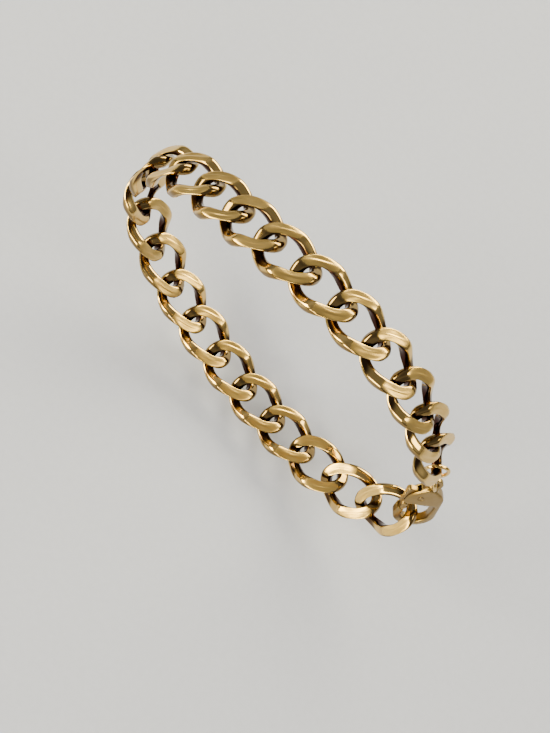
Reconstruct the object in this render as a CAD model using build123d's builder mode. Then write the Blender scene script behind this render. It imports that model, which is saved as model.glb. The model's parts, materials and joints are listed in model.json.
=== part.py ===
from build123d import *
from math import atan2, cos, hypot, pi, radians, sin
import os

# A flat curb link bracelet, closed with a lobster clasp, in the round form that it has on a wrist.
# Millimetres. The origin is the middle of the hollow for the wrist, +Z is out of the back of the wrist,
# +Y runs up the forearm, and +X is the side where the clasp hangs.

# Chain
link_count = 23
link_length = 11.45
link_width = 8.9
band_width = 1.9
band_height = 1.7
band_corner = 0.7
link_play = 0.65
link_fullness = 0.04
link_twist = 36.0
ground_thickness = 2.4
half_link_sections = 10

# Jump rings
ring_wire = 0.6
ring_outer = 4.4
ring_play = 0.2

# Lobster clasp, laid out from the centre of its eye towards the end of its hook
clasp_thickness = 2.2
clasp_edge = 0.4
eye_radius = 1.5
eye_hole_radius = 0.85
eye_thickness = 1.0
neck_radius = 1.2
neck_from_eye = 2.0
shoulder_radius = 3.0
shoulder_from_eye = 4.5
hook_radius = 3.4
clasp_reach = 12.8
hook_wall = 1.35
hollow_start = 5.7
hollow_corner = 0.5
hollow_side_wall = 1.2
seat_play = 1.4
seat_offset = 0.8

# Sprung lever of the clasp, and the rivet that it turns on
lever_thickness = 0.9
lever_arm_thickness = 1.8
lever_arm_width = 1.0
lever_root_radius = 1.05
lever_clearance = 0.15
lever_tab_from_eye = 2.4
lever_tab_offset = 2.95
lever_tip_from_eye = 7.15
lever_tip_offset = 2.6
pivot_from_eye = 3.5
pivot_offset = 0.9
rivet_radius = 0.45
rivet_seat_clearance = 0.02
rivet_turn_clearance = 0.05

# Route of the chain on the wrist: x, y and z of a few chosen places, from the seat of the clasp's hook
# round under the wrist, up its far side, over its back and down again to the eye of the clasp.
route_places = [
    (32.7, 0.6, -12.6),
    (30.1, -0.7, -16.8),
    (24.2, -1.1, -20.6),
    (14.6, -0.6, -23.5),
    (2.0, 0.4, -24.2),
    (-11.8, 2.0, -22.2),
    (-23.8, 3.8, -17.0),
    (-31.0, 5.0, -9.6),
    (-33.2, 5.4, -1.6),
    (-31.1, 5.0, 6.0),
    (-20.8, 2.4, 15.7),
    (-8.4, 0.2, 21.6),
    (5.6, 0.0, 22.4),
    (18.4, 0.5, 17.1),
    (23.4, 1.0, 12.3),
    (27.3, 1.4, 6.5),
    (31.5, 2.7, -3.4),
]

# How the ends hang: the way that the face of the clasp looks, how far the first jump ring hangs out of
# the line of the chain, and the roll of the first links after the clasp, in degrees
clasp_facing = (0.571, -0.772, 0.27)
first_ring_offset = 0.35
roll_after_clasp = [-48.0, -30.0, -14.0]

# Worked out from the sizes above
link_pitch = link_length - 2 * band_width - link_play
half_axis = (link_length - band_width) / 2
half_breadth = (link_width - band_width) / 2
ring_radius = (ring_outer - ring_wire) / 2
link_to_ring = half_axis - band_width / 2 - ring_wire / 2 - ring_play + ring_radius
ring_to_ring = 2 * ring_radius - ring_wire - ring_play
ring_to_eye = ring_radius + eye_hole_radius - ring_wire / 2 - ring_play
link_to_eye = link_to_ring + ring_to_ring + ring_to_eye
hollow_radius = hook_radius - hollow_side_wall
seat_from_eye = clasp_reach - hook_wall - band_width / 2 - seat_play
lever_tip_from_pivot = hypot(lever_tip_from_eye - pivot_from_eye, lever_tip_offset - pivot_offset)
lever_sweep = lever_tip_from_pivot + lever_arm_width / 2 + lever_clearance
section_steps = round(half_link_sections)
os.makedirs("parts", exist_ok=True)


def route_edge(scale):
    """The closed line of the chain, with the chosen places moved out or in by one scale."""
    with BuildLine() as line:
        Spline(*[Vector(*place) * scale for place in route_places], periodic=True)
    return line.edge()


def spot(edge, distance):
    """The point of the route at a distance along it."""
    return edge.position_at(distance % edge.length, position_mode=PositionMode.LENGTH)


def walk(edge, start, straight):
    """The distance along the route whose point lies a straight length on from the point at start."""
    origin = spot(edge, start)
    near = start
    far = start + 2 * straight
    for _ in range(30):
        middle = (near + far) / 2
        if abs((spot(edge, middle) - origin).length) < abs(straight):
            near = middle
        else:
            far = middle
    return near


def chain_distances(edge):
    """Distances along the route of the middle of each link, counted from the seat of the hook."""
    distances = [walk(edge, 0, half_axis)]
    while len(distances) < link_count:
        distances.append(walk(edge, distances[-1], link_pitch))
    return distances


def eye_distance(edge):
    """Distance along the route of the centre of the clasp's eye, back from the seat of the hook."""
    return walk(edge, edge.length, -hypot(seat_from_eye, seat_offset))


def square_to(direction, axis):
    """A direction made square to an axis."""
    return (direction - axis * direction.dot(axis)).normalized()


# The route is scaled until the links, the rings and the clasp close it exactly
route_scale = 1.0
for _ in range(5):
    route = route_edge(route_scale)
    link_distances = chain_distances(route)
    overrun = walk(route, link_distances[-1], link_to_eye) - eye_distance(route)
    route_scale *= 1 + overrun / route.length
eye = spot(route, eye_distance(route))
seat = spot(route, 0)


def link_plane(index):
    """The plane of one link: x along the chain, z out of the wrist."""
    distance = link_distances[index]
    ahead = (spot(route, distance + link_pitch / 2) - spot(route, distance - link_pitch / 2)).normalized()
    across = square_to(Vector(0, 1, 0), ahead)
    roll = radians(roll_after_clasp[index]) if index < len(roll_after_clasp) else 0
    outward = ahead.cross(across)
    return Plane(spot(route, distance), x_dir=ahead, z_dir=outward * cos(roll) - across * sin(roll))


def wire_middle(angle):
    """The middle of the metal at an angle round the link, with the twist of the link there."""
    along = half_axis * cos(angle)
    across = half_breadth * (sin(angle) + link_fullness * sin(3 * angle))
    twist = -radians(link_twist) * sin(pi / 2 * cos(angle))
    return Vector(along, across * cos(twist), across * sin(twist)), twist


def wire_section(angle, step=0.001):
    """The plane square to the metal at an angle, x across the flat face."""
    middle, twist = wire_middle(angle)
    ahead = (wire_middle(angle + step)[0] - wire_middle(angle - step)[0]).normalized()
    face = Vector(0, -sin(twist), cos(twist))
    return Plane(middle, x_dir=ahead.cross(face), z_dir=ahead)


# Half of a twisted curb link, its faces ground flat
with BuildPart() as half_link:
    for section in range(section_steps + 1):
        with BuildSketch(wire_section(section * pi / section_steps)):
            RectangleRounded(band_width, band_height, band_corner)
    loft()
    Box(2 * link_length, 2 * link_width, ground_thickness, mode=Mode.INTERSECT)

# The whole link, two halves soldered into one
with BuildPart() as curb_link:
    add(half_link.part)
    add(half_link.part, rotation=(0, 0, 180))

# The chain, each link through the last
for index in range(link_count):
    with BuildPart() as link:
        with Locations(link_plane(index).location):
            add(curb_link.part)
    link.part.label = f"link_{index + 1:02d}"
    export_step(link.part, f"parts/{link.part.label}.step")

# Frame of the clasp: x from the eye to the end of the hook, z out of the face that shows
to_seat = (seat - eye).normalized()
clasp_normal = square_to(Vector(*clasp_facing), to_seat)
seat_turn = atan2(seat_offset, seat_from_eye)
clasp_axis = to_seat * cos(seat_turn) + clasp_normal.cross(to_seat) * sin(seat_turn)
clasp_place = Plane(eye, x_dir=clasp_axis, z_dir=clasp_normal).location

# Jump rings, the first through the last link, the second through the first and the eye
train = (eye - spot(route, link_distances[-1])).normalized()
last_link = link_plane(link_count - 1)
held_metal = last_link.y_dir * cos(radians(link_twist)) - last_link.z_dir * sin(radians(link_twist))
first_ring_normal = square_to(held_metal, train)
second_ring_normal = train.cross(clasp_normal)
first_ring_aside = square_to(last_link.z_dir, train) * first_ring_offset
first_ring_centre = eye - train * (ring_to_eye + ring_to_ring) + first_ring_aside
second_ring_centre = eye - train * ring_to_eye
rings = [(first_ring_centre, first_ring_normal), (second_ring_centre, second_ring_normal)]
for number, (centre, normal) in enumerate(rings, start=1):
    with BuildPart() as jump_ring:
        with Locations(Plane(centre, z_dir=normal).location):
            Torus(ring_radius, ring_wire / 2)
    jump_ring.part.label = f"jump_ring_{number}"
    export_step(jump_ring.part, f"parts/{jump_ring.part.label}.step")

# Body of the clasp: a rounded plate with an eye, a hollow and a slot for the lever
with BuildPart() as clasp_blank:
    with BuildSketch():
        with Locations((neck_from_eye, 0)):
            Circle(neck_radius)
        with Locations((shoulder_from_eye, 0)):
            Circle(shoulder_radius)
        with Locations((clasp_reach - hook_radius, 0)):
            Circle(hook_radius)
        make_hull()
    extrude(amount=clasp_thickness / 2, both=True)
    fillet(clasp_blank.faces().filter_by(Axis.Z).edges(), clasp_edge)
    hollow_middle = clasp_reach - hook_wall - hollow_radius
    with BuildSketch() as hollow:
        with Locations((hollow_middle, 0)):
            Circle(hollow_radius)
        with Locations(((hollow_start + hollow_middle) / 2, 0)):
            Rectangle(hollow_middle - hollow_start, 2 * hollow_radius)
        fillet(hollow.vertices().sort_by(Axis.X)[:2], hollow_corner)
    extrude(amount=clasp_thickness, both=True, mode=Mode.SUBTRACT)
    for face in clasp_blank.faces().filter_by(Axis.Z):
        fillet(face.inner_wires()[0].edges(), clasp_edge)
    with BuildSketch():
        Circle(eye_radius)
        with Locations((neck_from_eye / 2, 0)):
            Rectangle(neck_from_eye, 2 * neck_radius)
    extrude(amount=eye_thickness / 2, both=True)
    with BuildSketch():
        Circle(eye_hole_radius)
    extrude(amount=clasp_thickness, both=True, mode=Mode.SUBTRACT)

with BuildPart() as clasp_form:
    add(clasp_blank.part)
    with BuildSketch():
        with Locations((pivot_from_eye, -pivot_offset)):
            Circle(lever_sweep)
        with Locations((hollow_start, -clasp_reach / 2)):
            Rectangle(clasp_reach, clasp_reach, align=(Align.MIN, Align.CENTER), mode=Mode.INTERSECT)
    extrude(amount=clasp_thickness, both=True, mode=Mode.SUBTRACT)
    with BuildSketch():
        slot_start = lever_tab_from_eye - lever_arm_width / 2 - lever_clearance
        slot_side = lever_root_radius + lever_clearance - pivot_offset
        with Locations((slot_start, slot_side)):
            Rectangle(clasp_reach / 2, clasp_reach, align=(Align.MIN, Align.MAX))
    extrude(amount=lever_thickness / 2 + lever_clearance, both=True, mode=Mode.SUBTRACT)
    with BuildSketch():
        with Locations((pivot_from_eye, -pivot_offset)):
            Circle(rivet_radius + rivet_seat_clearance)
    extrude(amount=clasp_thickness, both=True, mode=Mode.SUBTRACT)

# Sprung lever: a root in the slot, a thumb tab, and an arm that closes the hollow
with BuildPart() as lever_form:
    with BuildSketch():
        with Locations((pivot_from_eye, -pivot_offset)):
            Circle(lever_root_radius)
        with Locations((lever_tab_from_eye, -lever_tab_offset)):
            Circle(lever_arm_width / 2)
        make_hull()
    extrude(amount=lever_thickness / 2, both=True)
    with BuildSketch():
        with Locations((lever_tab_from_eye, -lever_tab_offset)):
            Circle(lever_arm_width / 2)
        with Locations((lever_tip_from_eye, -lever_tip_offset)):
            Circle(lever_arm_width / 2)
        make_hull()
    extrude(amount=lever_thickness / 2, both=True)
    arm_start = hollow_start + lever_clearance + lever_arm_width / 2
    arm_share = (arm_start - lever_tab_from_eye) / (lever_tip_from_eye - lever_tab_from_eye)
    arm_side = lever_tab_offset + arm_share * (lever_tip_offset - lever_tab_offset)
    with BuildSketch():
        with Locations((arm_start, -arm_side)):
            Circle(lever_arm_width / 2)
        with Locations((lever_tip_from_eye, -lever_tip_offset)):
            Circle(lever_arm_width / 2)
        make_hull()
    extrude(amount=lever_arm_thickness / 2, both=True)
    with BuildSketch():
        with Locations((pivot_from_eye, -pivot_offset)):
            Circle(rivet_radius + rivet_turn_clearance)
    extrude(amount=clasp_thickness, both=True, mode=Mode.SUBTRACT)

# Rivet, as long as the clasp is thick
with BuildPart() as rivet_form:
    with BuildSketch():
        with Locations((pivot_from_eye, -pivot_offset)):
            Circle(rivet_radius)
    extrude(amount=clasp_thickness / 2, both=True)

for name, form in [("clasp_body", clasp_form), ("clasp_lever", lever_form), ("clasp_rivet", rivet_form)]:
    with BuildPart() as piece:
        with Locations(clasp_place):
            add(form.part)
    piece.part.label = name
    export_step(piece.part, f"parts/{name}.step")

pivot = clasp_place * Location((pivot_from_eye, -pivot_offset, 0))
print("route scale", round(route_scale, 4), "length round", round(route.length, 2))
print("link volume", round(curb_link.part.volume, 2), "solids", len(curb_link.part.solids()))
print("lever pivot", pivot.position, "axis", clasp_normal)
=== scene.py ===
# %% [markdown]
# # A flat curb link bracelet
# The bracelet is a loop of twisted wire links, filed flat on both faces, closed by a lobster clasp that hangs
# on two small jump rings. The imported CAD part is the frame: every piece that is modelled here takes the place
# of one CAD node, so the first step loads the frame and keeps its size.

import json
from math import atan2, cos, exp, hypot, log1p, pi, radians, sin

import bmesh
import bpy
import numpy as np
from mathutils import Matrix, Vector
from mathutils.bvhtree import BVHTree


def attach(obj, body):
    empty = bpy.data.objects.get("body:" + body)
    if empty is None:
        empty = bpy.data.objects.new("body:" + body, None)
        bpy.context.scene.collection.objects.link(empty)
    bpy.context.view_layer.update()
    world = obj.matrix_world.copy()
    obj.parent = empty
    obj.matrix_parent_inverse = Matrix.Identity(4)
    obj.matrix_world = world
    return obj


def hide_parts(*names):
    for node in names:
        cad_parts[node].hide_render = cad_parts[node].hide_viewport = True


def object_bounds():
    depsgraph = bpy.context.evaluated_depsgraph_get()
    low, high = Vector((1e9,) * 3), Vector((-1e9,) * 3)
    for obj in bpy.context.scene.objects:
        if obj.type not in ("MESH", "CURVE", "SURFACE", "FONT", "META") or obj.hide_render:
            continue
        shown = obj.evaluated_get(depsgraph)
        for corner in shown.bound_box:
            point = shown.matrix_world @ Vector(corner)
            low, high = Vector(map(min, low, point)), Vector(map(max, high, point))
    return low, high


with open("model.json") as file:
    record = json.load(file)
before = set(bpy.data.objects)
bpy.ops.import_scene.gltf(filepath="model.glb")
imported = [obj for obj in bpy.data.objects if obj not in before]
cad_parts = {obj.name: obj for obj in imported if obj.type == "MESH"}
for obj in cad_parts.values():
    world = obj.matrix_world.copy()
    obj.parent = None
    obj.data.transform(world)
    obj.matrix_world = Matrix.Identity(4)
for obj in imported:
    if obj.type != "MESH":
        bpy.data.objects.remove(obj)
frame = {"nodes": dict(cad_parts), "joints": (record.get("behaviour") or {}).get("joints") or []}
nodes = frame["nodes"]
cad_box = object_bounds()
MM = 0.001
print("CAD box in mm:", [[round(c / MM, 1) for c in corner] for corner in cad_box])

# %% [markdown]
# ## Helpers for colours, nodes and objects
# Colours are written as sRGB hex values, as a paint chart gives them, and turned to the linear values that
# the renderer needs by one function. One more function adds a node, sets it and links it, and two short ones
# make a mesh from a bmesh and put an object into the scene.

# %% Colour, node and object helpers


def linear(hex_colour):
    """A linear RGBA colour from an sRGB hex value."""
    channels = [int(hex_colour[i : i + 2], 16) / 255 for i in (1, 3, 5)]
    return [c / 12.92 if c <= 0.04045 else ((c + 0.055) / 1.055) ** 2.4 for c in channels] + [1.0]


def add_node(tree, kind, settings=None, values=None, links=None):
    """A node with its settings, its socket values and the sockets that feed it."""
    node = tree.nodes.new(kind)
    for name, value in (settings or {}).items():
        setattr(node, name, value)
    for socket, value in (values or {}).items():
        node.inputs[socket].default_value = value
    for socket, source in (links or {}).items():
        tree.links.new(source, node.inputs[socket])
    return node


def mesh_from(bm, name):
    """A named mesh that holds what a bmesh holds."""
    mesh = bpy.data.meshes.new(name)
    bm.to_mesh(mesh)
    return mesh


def shown(name, data):
    """A new object of the scene, at the origin, for a mesh, a light or a camera."""
    thing = bpy.data.objects.new(name, data)
    bpy.context.scene.collection.objects.link(thing)
    return thing


# %% [markdown]
# ## The gold
# The metal is brass with a plating of yellow gold, tumbled to a polish. Tumbling leaves the surface very slightly
# wavy, so what it mirrors looks soft and drawn out, and where the links were ground the flats are a little
# duller. Inside the links, where they cover each other and below their faces, a dark brown is painted: a painted
# shade and a painted dark reflection, where the links shade each other and mirror dark surroundings. A painted
# texture could say where, but an attribute on the mesh says it in three dimensions and needs no map: each
# piece carries how far it is ground and how much painted shade it gets, and one material reads both.

# %% A gold with clouds and waves
noise_range = {"From Min": 0.3, "From Max": 0.7}
gloss_swing = 0.15


def gold(name, colour, cloud_colour, roughness, cloud_mm, wave_mm, wave_depth_mm):
    """Gold plate: faint clouds of tone and gloss, and a shallow waviness, at sizes in millimetres."""
    material = bpy.data.materials.new(name)
    material.use_nodes = True
    tree = material.node_tree
    shader = tree.nodes["Principled BSDF"]
    shader.inputs["Metallic"].default_value = 1.0
    place = {"Vector": add_node(tree, "ShaderNodeTexCoord").outputs["Object"]}
    cloud_grain = {"Scale": 1 / (cloud_mm * MM), "Detail": 2.0}
    wave_grain = {"Scale": 1 / (wave_mm * MM), "Detail": 1.0}
    cloud = add_node(tree, "ShaderNodeTexNoise", values=cloud_grain, links=place).outputs[0]
    wave = add_node(tree, "ShaderNodeTexNoise", values=wave_grain, links=place).outputs[0]
    tones = {6: linear(colour), 7: linear(cloud_colour)}
    tone = add_node(tree, "ShaderNodeMix", {"data_type": "RGBA"}, tones, {0: cloud}).outputs[2]
    glosses = {"To Min": roughness * (1 - gloss_swing), "To Max": roughness * (1 + gloss_swing)}
    gloss = add_node(tree, "ShaderNodeMapRange", values=noise_range | glosses, links={"Value": cloud}).outputs[0]
    depth = {"Strength": 1.0, "Distance": wave_depth_mm * MM}
    waves = add_node(tree, "ShaderNodeBump", values=depth, links={"Height": wave}).outputs[0]
    tree.links.new(tone, shader.inputs["Base Color"])
    tree.links.new(gloss, shader.inputs["Roughness"])
    tree.links.new(waves, shader.inputs["Normal"])
    return material


# %% Painted shade in dark brown, and duller flats
# painted shade: the dark brown that stands for where links shade each other and mirror dark surroundings
painted_shade_brown = "#37201A"
grinding_dulls_by = 0.18


def paint_shade_and_dull_flats(material):
    """Paints shade in dark brown where the attribute marks it, and dulls the gold where it was ground."""
    tree = material.node_tree
    shader = tree.nodes["Principled BSDF"]
    tone, gloss = (shader.inputs[name].links[0].from_socket for name in ("Base Color", "Roughness"))
    reach, ground_share = (
        add_node(tree, "ShaderNodeAttribute", {"attribute_name": name}).outputs["Fac"]
        for name in ("painted_shade", "ground")
    )
    colours = {"data_type": "RGBA"}
    # the painted shade: dark brown mixed into the gold where the attribute marks it
    shade_painted_tone = add_node(tree, "ShaderNodeMix", colours, {7: linear(painted_shade_brown)}, {0: reach, 6: tone})
    add_up = {"operation": "MULTIPLY_ADD"}
    dulled = add_node(tree, "ShaderNodeMath", add_up, {1: grinding_dulls_by}, {0: ground_share, 2: gloss})
    tree.links.new(shade_painted_tone.outputs[2], shader.inputs["Base Color"])
    tree.links.new(dulled.outputs[0], shader.inputs["Roughness"])


# %% The three golds
# Gold plate on tumbled brass wire: a bright shine that runs along the wire, satin flats, painted shade in the
# recesses.
link_gold = gold("gold_plate_on_tumbled_wire", "#E6C47B", "#D8B26A", 0.12, 3.0, 2.5, 0.06)
paint_shade_and_dull_flats(link_gold)
# Gold plate on drawn ring wire: the same tone with a more even shine, because fine wire stays smooth.
ring_gold = gold("gold_plate_on_ring_wire", "#E6C47B", "#D8B26A", 0.13, 2.0, 1.5, 0.01)
# Gold plate on a cast clasp: softer, because the cast skin stays finely rough under the plating, and painted in a
# deeper tone than the links' gold, a painted shade.
shaded_cast_gold = gold("gold_plate_on_cast_clasp", "#967D4E", "#846B41", 0.3, 2.0, 1.8, 0.05)
paint_shade_and_dull_flats(shaded_cast_gold)
print("golds:", [m.name for m in (link_gold, ring_gold, shaded_cast_gold)])

# %% [markdown]
# ## One curb link
# A curb link is a ring of wire that was squeezed to an oval and twisted, so that it lies flat in the chain.
# It could be a curve with a bevel, but then the flats would have to be cut from it with a boolean. Here a
# rounded square is spun into a ring, and each of its vertices is moved to its place on the twisted oval. Where
# the wire would stand above the ground face it is drawn back towards its own core, with a soft limit, which
# leaves the slightly rounded rims of a flat that was polished after grinding.

# %% Sizes of the links, in millimetres
link_length = 11.45
link_width = 8.9
link_pitch = 7.0
band_width = 1.9
band_height = 1.7
band_corner = 0.7
link_fullness = 0.04
link_twist = radians(36.0)
ground_thickness = 2.4
half_axis = (link_length - band_width) / 2
half_breadth = (link_width - band_width) / 2

# %% The twisted oval


def wire_middle(angle):
    """The middle of the metal at an angle round the link, and the twist of the link there."""
    across = half_breadth * (sin(angle) + link_fullness * sin(3 * angle))
    twist = -link_twist * sin(pi / 2 * cos(angle))
    return Vector((half_axis * cos(angle), across * cos(twist), across * sin(twist))), twist


def on_wire(angle, out, up, step=0.001):
    """A point of the wire: out and up from its middle, in its own section."""
    middle, twist = wire_middle(angle)
    ahead = (wire_middle(angle + step)[0] - wire_middle(angle - step)[0]).normalized()
    face = Vector((0, -sin(twist), cos(twist)))
    side = ahead.cross(face).normalized()
    return middle + side * out + side.cross(ahead) * up


# %% A ring of wire
merge_mm = 0.005


def spun_wire(bm, width, height, corner, corner_segments, side_cuts, radius, steps):
    """A ring of wire round Z with a rounded section."""
    section = bmesh.ops.create_grid(bm, x_segments=1, y_segments=1, size=0.5)["verts"]
    bmesh.ops.scale(bm, vec=(width, height, 1), verts=section)
    bmesh.ops.bevel(
        bm,
        geom=section,
        offset=corner,
        offset_type="OFFSET",
        affect="VERTICES",
        segments=corner_segments,
        profile=0.5,
        material=-1,
    )
    bmesh.ops.delete(bm, geom=bm.faces[:], context="FACES_ONLY")
    sides = [e for e in bm.edges if e.calc_length() > 1.5 * corner / corner_segments]
    if side_cuts and sides:
        bmesh.ops.subdivide_edges(bm, edges=sides, cuts=side_cuts)
    bmesh.ops.rotate(bm, matrix=Matrix.Rotation(pi / 2, 3, "X"), verts=bm.verts[:])
    bmesh.ops.translate(bm, vec=(radius, 0, 0), verts=bm.verts[:])
    bmesh.ops.spin(
        bm,
        geom=bm.verts[:] + bm.edges[:],
        cent=(0, 0, 0),
        axis=(0, 0, 1),
        angle=2 * pi,
        steps=steps,
        use_merge=True,
    )
    bmesh.ops.remove_doubles(bm, verts=bm.verts[:], dist=merge_mm)
    bmesh.ops.recalc_face_normals(bm, faces=bm.faces[:])
    for face in bm.faces:
        face.smooth = True


# %% Soft limits


def soft_limit(value, limit, softness):
    """The value, held under the limit with a soft knee."""
    over = (value - limit) / softness
    return limit - softness * (log1p(exp(-abs(over))) - min(over, 0.0))


def soft_step(value, low, high):
    """0 below low, 1 above high and a smooth rise between them."""
    share = min(max((value - low) / (high - low), 0.0), 1.0)
    return share * share * (3 - 2 * share)


# %% Grinding
core_flattening = 0.6
rim_softness = 0.1
crown = 0.06
least_rise = 0.05


def ground_flat(angle, out, up):
    """A point of the wire before grinding, the core it is drawn to and the share of its rise that is kept."""
    place, core = on_wire(angle, out, up), wire_middle(angle)[0]
    core.z *= core_flattening
    same_side = place.z * core.z > 0
    rise = abs(place.z) - abs(core.z) if same_side else abs(place.z - core.z)
    flat = ground_thickness / 2 * (1 - crown * (2 * out / band_width) ** 2)
    room = flat - abs(core.z) if same_side else flat + abs(core.z)
    kept = soft_limit(1.0, room / rise, rim_softness) if rise > least_rise else 1.0
    return place, core, kept


# %% [markdown]
# Shade is painted where the links shade themselves: most on the inner side of the wire, at the ends, where the
# neighbours sit, and on what lies deep below the ground faces; the outer side gets a painted dark reflection.
# Each of these is a measure with a soft step: nothing below its first number, and all of it above its second.

# %% Where shade is painted, by the place in the link
ground_away = (0.04, 0.14)
faces_the_hole = (0.3, 0.6)
faces_outwards = (0.45, 0.75)
towards_the_end = (0.75, 0.97)
below_the_face_mm = (1.15, 1.7)
most_outside, most_at_the_end, most_below = 0.75, 0.7, 0.95


def painted_shade_by_place(angle, out, up, below_face):
    """How much painted shade a point of the wire gets, from its place in the link."""
    aside, upwards = abs(out) / band_width, abs(up) / band_height
    sideways = aside / (aside + upwards)
    # painted shade on the side that faces the hole, and a painted dark reflection on the outer side
    at_side = soft_step(sideways, *faces_the_hole) if out < 0 else most_outside * soft_step(sideways, *faces_outwards)
    at_end = most_at_the_end * soft_step(abs(cos(angle)), *towards_the_end)
    below = most_below * soft_step(below_face, *below_the_face_mm)
    return max(at_side, at_end, below)


# %% Twist the ring and grind its faces
smoothing_passes = 12
link_mesh = bmesh.new()
spun_wire(
    link_mesh, band_width, band_height, band_corner, corner_segments=8, side_cuts=3, radius=half_axis, steps=128
)
ground = link_mesh.verts.layers.float.new("ground")
# the painted shade, carried by each vertex
painted_shade = link_mesh.verts.layers.float.new("painted_shade")
for vertex in link_mesh.verts:
    angle = atan2(vertex.co.y, vertex.co.x)
    out = hypot(vertex.co.x, vertex.co.y) - half_axis
    up = vertex.co.z
    place, core, kept = ground_flat(angle, out, up)
    vertex.co = core + (place - core) * kept
    vertex[ground] = soft_step(1.0 - kept, *ground_away)
    below_face = ground_thickness / 2 - (place.z if place.z > core.z else -place.z)
    vertex[painted_shade] = painted_shade_by_place(angle, out, up, below_face) * (1 - vertex[ground])
for _ in range(smoothing_passes):
    bmesh.ops.smooth_vert(
        link_mesh, verts=link_mesh.verts[:], factor=0.5, use_axis_x=True, use_axis_y=True, use_axis_z=True
    )
print("one link:", len(link_mesh.faces), "faces")

# %% [markdown]
# Shade is also painted where one link covers the next. Short rays from each point of the wire count
# how much of its view is blocked by the link itself and by its two neighbours, and that share adds to the
# painted shade. The same count paints shade on the clasp later on.

# %% Feelers that count what is blocked


def half_globe(count):
    """Even directions over half a globe about Z, denser towards its top."""
    golden = pi * (3 - 5**0.5)
    heights = [((i + 0.5) / count) ** 0.5 for i in range(count)]
    aside = [(1 - h * h) ** 0.5 for h in heights]
    return [Vector((r * cos(i * golden), r * sin(i * golden), h)) for i, (r, h) in enumerate(zip(aside, heights))]


def blocked_share(solid, point, normal, reach):
    """How much of the view from a point of a surface is blocked within a reach."""
    start = point + normal * reach * 0.01
    turn = normal.to_track_quat("Z", "Y")
    return sum(solid.ray_cast(start, turn @ feeler, reach)[0] is not None for feeler in feelers) / len(feelers)


feelers = half_globe(16)

# %% Count what the neighbours cover
link_reach_mm = 2.5
covered_in_chain = (0.35, 0.8)
chain = link_mesh.copy()
for side in (-1, 1):
    neighbour = link_mesh.copy()
    bmesh.ops.translate(neighbour, vec=(side * link_pitch, 0, 0), verts=neighbour.verts[:])
    neighbour_mesh = mesh_from(neighbour, "neighbour")
    neighbour.free()
    chain.from_mesh(neighbour_mesh)
    bpy.data.meshes.remove(neighbour_mesh)
chain_solid = BVHTree.FromBMesh(chain)
chain.free()
link_mesh.normal_update()
for vertex in link_mesh.verts:
    share = blocked_share(chain_solid, vertex.co, vertex.normal, link_reach_mm)
    # painted shade where the link and its neighbours block the view
    vertex[painted_shade] = max(vertex[painted_shade], soft_step(share, *covered_in_chain))
# counts the points that get more than half the painted shade
print("points out of reach:", sum(v[painted_shade] > 0.5 for v in link_mesh.verts), "of", len(link_mesh.verts))

# %% [markdown]
# ## Where each link goes
# Each CAD link tells where its copy belongs: the middle of its volume is the middle of the link, and the
# three axes of its second moments are the link's length, width and thickness. A curb link looks the same
# when it is turned half round any of these axes, so only the handedness of the three matters.

# %% The axes of a CAD node


def volume_axes(node):
    """The middle of a closed mesh's volume and its axes, longest first."""
    mesh = node.data
    mesh.calc_loop_triangles()
    points = np.array([v.co for v in mesh.vertices], float)
    corners = points[np.array([t.vertices[:] for t in mesh.loop_triangles])]
    origin = points.mean(0)
    a, b, c = (corners[:, i] - origin for i in range(3))
    volumes = np.einsum("ij,ij->i", a, np.cross(b, c)) / 6
    whole = a + b + c
    middle = (volumes[:, None] * whole / 4).sum(0) / volumes.sum()
    moments = sum(np.einsum("i,ij,ik->jk", volumes / 20, p, p) for p in (a, b, c, whole)) / volumes.sum()
    sizes, axes = np.linalg.eigh(moments - np.outer(middle, middle))
    order = sizes.argsort()[::-1]
    return Vector(origin + middle), [Vector(axes[:, i]) for i in order]


def placed(bm, name, middle, along, across, material):
    """A new piece from a finished mesh, with its place in the mesh."""
    turn = Matrix((along, across, along.cross(across))).transposed().to_4x4()
    mesh = mesh_from(bm, name)
    mesh.transform(Matrix.Translation(middle) @ turn)
    mesh.materials.append(material)
    return shown(name, mesh)


# %% Place the links
bmesh.ops.scale(link_mesh, vec=(MM, MM, MM), verts=link_mesh.verts[:])
link_names = [n for n in sorted(nodes) if n.startswith("link_")]
link_places = [volume_axes(nodes[n]) for n in link_names]
for number, (middle, axes) in enumerate(link_places):
    onward = link_places[(number + 1) % len(link_places)][0] - link_places[number - 1][0]
    along = axes[0] if axes[0].dot(onward) > 0 else -axes[0]
    across = axes[1] if axes[1].y > 0 else -axes[1]
    name = link_names[number]
    piece = placed(link_mesh, "twisted_" + name, middle, along, across, link_gold)
    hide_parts(name)
    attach(piece, "bracelet")
link_mesh.free()
print("links placed:", len(link_names))

# %% [markdown]
# ## The jump rings
# Two rings of round wire join the last link to the eye of the clasp. The helper for the links makes them too:
# with corners of nearly half its width a square section is round.

# %% Jump rings
ring_wire = 0.6
ring_outer = 4.4
round_corner = ring_wire / 2 - 0.001
ring_mesh = bmesh.new()
spun_wire(
    ring_mesh,
    ring_wire,
    ring_wire,
    round_corner,
    corner_segments=6,
    side_cuts=0,
    radius=(ring_outer - ring_wire) / 2,
    steps=72,
)
bmesh.ops.scale(ring_mesh, vec=(MM, MM, MM), verts=ring_mesh.verts[:])
for name in ("jump_ring_1", "jump_ring_2"):
    middle, axes = volume_axes(nodes[name])
    ring = placed(ring_mesh, "wire_" + name, middle, axes[0], axes[1], ring_gold)
    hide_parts(name)
    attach(ring, "bracelet")
print("one jump ring:", len(ring_mesh.faces), "faces")
ring_mesh.free()

# %% [markdown]
# ## The clasp
# The body and the lever of a lobster clasp are cast and then tumbled, so every edge is worn soft and the two
# faces of the body are slightly crowned. The CAD solids have the form with crisp edges. A bevel would cross
# itself in the thin cheeks of the slot, so a merged copy of each CAD mesh, laid flat, is cut into even voxels
# and smoothed, which wears all edges alike, and the faces of the body are then drawn in towards their rims.

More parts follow.
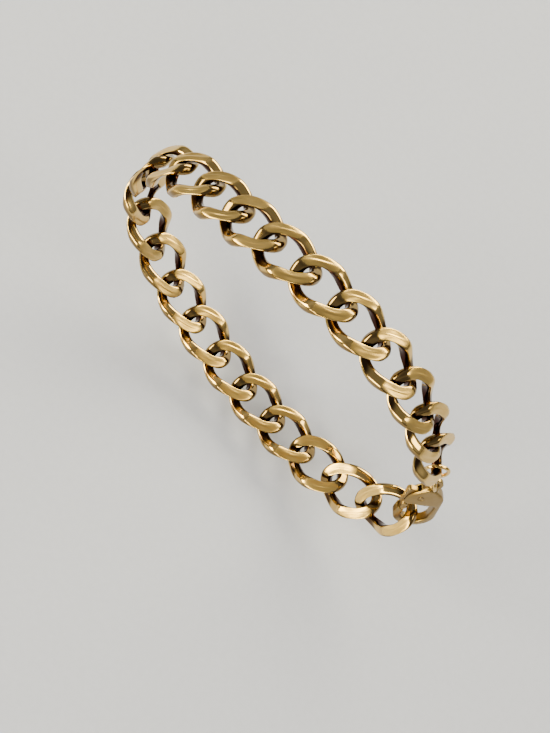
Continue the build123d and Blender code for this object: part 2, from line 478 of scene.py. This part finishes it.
# %% The clasp's own axes
hinge = frame["joints"][0]
pivot = Vector(hinge["pos_m"])
face_up = Vector(hinge["axis"]).normalized()
long_way = volume_axes(nodes["clasp_body"])[1][0]
long_way = (long_way - face_up * long_way.dot(face_up)).normalized()
wide_way = face_up.cross(long_way)
stood_up = Matrix.Translation(pivot) @ Matrix((long_way, wide_way, face_up)).transposed().to_4x4()
laid_flat = stood_up.inverted()
print("the clasp's face looks towards", [round(c, 2) for c in face_up])

# %% Cast and tumbled pieces


def tumbled(node_name, name, voxel_mm, passes):
    """A merged copy of a CAD node in millimetres, laid flat, cut into even voxels and smoothed."""
    copy = bmesh.new()
    copy.from_mesh(nodes[node_name].data)
    bmesh.ops.remove_doubles(copy, verts=copy.verts[:], dist=1e-6)
    bmesh.ops.transform(copy, matrix=Matrix.Scale(1 / MM, 4) @ laid_flat, verts=copy.verts[:])
    piece = shown(name, mesh_from(copy, name))
    copy.free()
    voxels = piece.modifiers.new("voxels", "REMESH")
    voxels.mode = "VOXEL"
    voxels.voxel_size = voxel_mm
    wear = piece.modifiers.new("wear", "SMOOTH")
    wear.iterations = passes
    worn = piece.evaluated_get(bpy.context.evaluated_depsgraph_get())
    piece.data = bpy.data.meshes.new_from_object(worn)
    piece.modifiers.clear()
    return piece


def put_on_clasp(piece, node_name):
    """Takes a piece from its flat, millimetre state to its place on the clasp."""
    piece.data.transform(stood_up @ Matrix.Scale(MM, 4))
    piece.data.shade_smooth()
    piece.data.materials.clear()
    piece.data.materials.append(shaded_cast_gold)
    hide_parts(node_name)
    print(piece.name + ":", len(piece.data.polygons), "faces")


# %% Painted shade on the clasp, where its view is blocked
covered_on_clasp = (0.22, 0.6)


def paint_blocked_shade(piece, reach_mm):
    """Writes to each vertex of a piece how much of its view is blocked, as painted shade."""
    solid = BVHTree.FromPolygons([v.co for v in piece.data.vertices], [p.vertices[:] for p in piece.data.polygons])
    marks = piece.data.attributes.new("painted_shade", "FLOAT", "POINT")
    for vertex, mark in zip(piece.data.vertices, marks.data):
        share = blocked_share(solid, vertex.co, vertex.normal, reach_mm)
        mark.value = soft_step(share, *covered_on_clasp)


# %% Body with crowned faces
crown_drop = 0.25
body = tumbled("clasp_body", "cast_clasp_body", voxel_mm=0.08, passes=12)
flat_points = np.array([v.co for v in body.data.vertices])
lowest, highest = flat_points.min(0), flat_points.max(0)
aside = ((flat_points - (highest + lowest) / 2) / ((highest - lowest) / 2))[:, :2]
for vertex, (lengthwise, sidewise) in zip(body.data.vertices, aside):
    vertex.co.z *= 1 - crown_drop * min(hypot(lengthwise, sidewise), 1.0) ** 2
paint_blocked_shade(body, reach_mm=3.0)
put_on_clasp(body, "clasp_body")
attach(body, "bracelet")

# %% Lever
lever = tumbled("clasp_lever", "cast_clasp_lever", voxel_mm=0.07, passes=3)
paint_blocked_shade(lever, reach_mm=1.5)
put_on_clasp(lever, "clasp_lever")
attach(lever, "lever")

# %% [markdown]
# ## The rivet
# The rivet is a short pin whose two ends are peened over, so each shows as a small dome with a faint dimple
# from the punch. A cylinder gets bevelled rims, and its caps are inset and pushed in.

# %% Rivet
clasp_thickness = 2.2
rivet_radius = 0.45
rivet_sunk = 0.06
rivet_length = clasp_thickness - rivet_sunk
rivet_sides = 32
dome = 0.08
dimple = 0.12
dimple_depth = 0.02
dimple_steps = 2
rivet_mesh = bmesh.new()
bmesh.ops.create_cone(
    rivet_mesh, cap_ends=True, segments=rivet_sides, radius1=rivet_radius, radius2=rivet_radius, depth=rivet_length
)
caps = [f for f in rivet_mesh.faces if len(f.verts) == rivet_sides]
bmesh.ops.bevel(
    rivet_mesh,
    geom=[e for f in caps for e in f.edges],
    offset=dome,
    affect="EDGES",
    segments=4,
    profile=0.5,
    material=-1,
)
caps = [f for f in rivet_mesh.faces if len(f.verts) == rivet_sides]
for _ in range(dimple_steps):
    bmesh.ops.inset_region(
        rivet_mesh, faces=caps, thickness=dimple / dimple_steps, depth=-dimple_depth / dimple_steps
    )
bmesh.ops.recalc_face_normals(rivet_mesh, faces=rivet_mesh.faces[:])
rivet = shown("peened_clasp_rivet", mesh_from(rivet_mesh, "peened_clasp_rivet"))
rivet_mesh.free()
put_on_clasp(rivet, "clasp_rivet")
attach(rivet, "bracelet")

# %% [markdown]
# ## Floor
# The floor is a plain pale sheet of paper just under the lowest link. Its grain is a fine noise between two
# close tones, and a painted shade makes it darker away from the bracelet, as a sheet is outside the light. The
# paper is a cool white, because the lights are warm ones.

# %% Floor
floor_half = 0.8
floor_gap = 1.0 * MM
floor_mesh = bmesh.new()
bmesh.ops.create_grid(floor_mesh, x_segments=2, y_segments=2, size=floor_half)
bmesh.ops.translate(floor_mesh, vec=(0, 0, cad_box[0].z - floor_gap), verts=floor_mesh.verts[:])
floor = shown("floor", mesh_from(floor_mesh, "floor"))
floor_mesh.free()
print("floor at", round(floor.data.vertices[0].co.z / MM, 2), "mm")

# %% Paper
grains_per_metre = 900.0
fade_from, fade_to = 0.09, 0.25
# Uncoated paper: no shine at all, and a grain that only breaks up the even tone.
paper = bpy.data.materials.new("pale_paper_sheet")
paper.use_nodes = True
sheet = paper.node_tree
spot = add_node(sheet, "ShaderNodeTexCoord").outputs["Object"]
grain_size = {"Scale": grains_per_metre, "Detail": 2.0}
grain = add_node(sheet, "ShaderNodeTexNoise", values=grain_size, links={"Vector": spot}).outputs[0]
pale_tones = {6: linear("#B0B8EA"), 7: linear("#B8C0F2")}
pale = add_node(sheet, "ShaderNodeMix", {"data_type": "RGBA"}, pale_tones, {0: grain}).outputs[2]
far = add_node(sheet, "ShaderNodeVectorMath", {"operation": "LENGTH"}, links={0: spot}).outputs["Value"]
fade_range = {"From Min": fade_from, "From Max": fade_to}
smooth = {"interpolation_type": "SMOOTHSTEP"}
painted_falloff = add_node(sheet, "ShaderNodeMapRange", smooth, fade_range, {"Value": far}).outputs[0]
# painted shade: the paper grows darker away from the bracelet
painted_falloff_tone = {7: linear("#999EB6")}
tone = add_node(sheet, "ShaderNodeMix", {"data_type": "RGBA"}, painted_falloff_tone, {0: painted_falloff, 6: pale}).outputs[2]
sheet.links.new(tone, sheet.nodes["Principled BSDF"].inputs["Base Color"])
sheet.nodes["Principled BSDF"].inputs["Roughness"].default_value = 0.9
floor.data.materials.append(paper)
print("paper:", len(sheet.nodes), "nodes")

# %% [markdown]
# ## Light
# Four soft lights of a warm white stand low round the bracelet, as in a light tent. Polished metal shows what
# it mirrors, so their places matter more than their strength: the rounded edges of the links catch them, and
# the flats mirror the air above.

# %% Lights
warm_white = "#FFF1B0"
# name, place in metres, width and height in metres, watts
soft_boxes = (
    ("soft_box_left", (-0.45, -0.25, 0.22), (0.36, 0.22), 5.9),
    ("soft_box_front", (0.05, -0.5, 0.2), (0.45, 0.15), 4.7),
    ("soft_box_right", (0.4, 0.15, 0.4), (0.2, 0.2), 1.2),
    ("soft_box_back", (0.0, 0.5, 0.22), (0.55, 0.22), 8.0),
)
for name, place, (width, height), watts in soft_boxes:
    lamp = bpy.data.lights.new(name, "AREA")
    lamp.shape = "RECTANGLE"
    lamp.size, lamp.size_y = width, height
    lamp.energy = watts
    lamp.color = linear(warm_white)[:3]
    towards_bracelet = (-Vector(place)).to_track_quat("-Z", "Y").to_matrix().to_4x4()
    shown(name, lamp).matrix_world = Matrix.Translation(place) @ towards_bracelet
print("soft boxes:", len(soft_boxes))

# %% [markdown]
# ## Room
# The room is the rest of what the metal mirrors. It is brightest half way up and dimmer overhead and near the
# horizon, so the flats stay deep in colour. A ramp over the height of each direction gives its strength.

# %% Room
# height of the direction, brightness
room_bands = ((0.0, 0.24), (0.25, 0.255), (0.55, 0.49), (0.9, 0.235))
world = bpy.data.worlds.new("pale_room")
world.use_nodes = True
room = world.node_tree
air = room.nodes["Background"]
air.inputs["Color"].default_value = linear("#F4F3F2")
direction = add_node(room, "ShaderNodeTexCoord").outputs["Generated"]
level = add_node(room, "ShaderNodeSeparateXYZ", links={0: direction}).outputs["Z"]
bands = add_node(room, "ShaderNodeValToRGB", links={0: level})
ramp = bands.color_ramp
ramp.interpolation = "EASE"
for place, brightness in room_bands:
    ramp.elements.new(place).color = (brightness, brightness, brightness, 1)
ramp.elements.remove(ramp.elements[0])
ramp.elements.remove(ramp.elements[-1])
room.links.new(bands.outputs[0], air.inputs["Strength"])
bpy.context.scene.world = world
print("room bands:", len(ramp.elements))

# %% [markdown]
# ## Camera
# The camera looks steeply down on the bracelet from the front and is turned about its own axis, so that the
# chain runs across the picture from the top left to the lower right. Its place, its turn and its long lens come
# from a fit to the links' places in the picture.

# %% Camera
elevation = radians(66)
roll = radians(44.2)
camera_place = Vector((0.75, -94.3, 205.5)) * MM
camera_data = bpy.data.cameras.new("camera")
camera_data.sensor_fit = "HORIZONTAL"
camera_data.sensor_width = 36.0
camera_data.lens = 98.18
camera_data.shift_y = -0.01
camera_data.clip_start = 0.01
sideways = Vector((1, 0, 0))
back = Vector((0, -cos(elevation), sin(elevation)))
level_up = Vector((0, sin(elevation), cos(elevation)))
right = sideways * cos(roll) + level_up * sin(roll)
up = level_up * cos(roll) - sideways * sin(roll)
camera = shown("camera", camera_data)
camera.matrix_world = Matrix.Translation(camera_place) @ Matrix((right, up, back)).transposed().to_4x4()
bpy.context.scene.camera = camera
print("camera", round(camera_place.length / MM), "mm from the middle of the hollow")
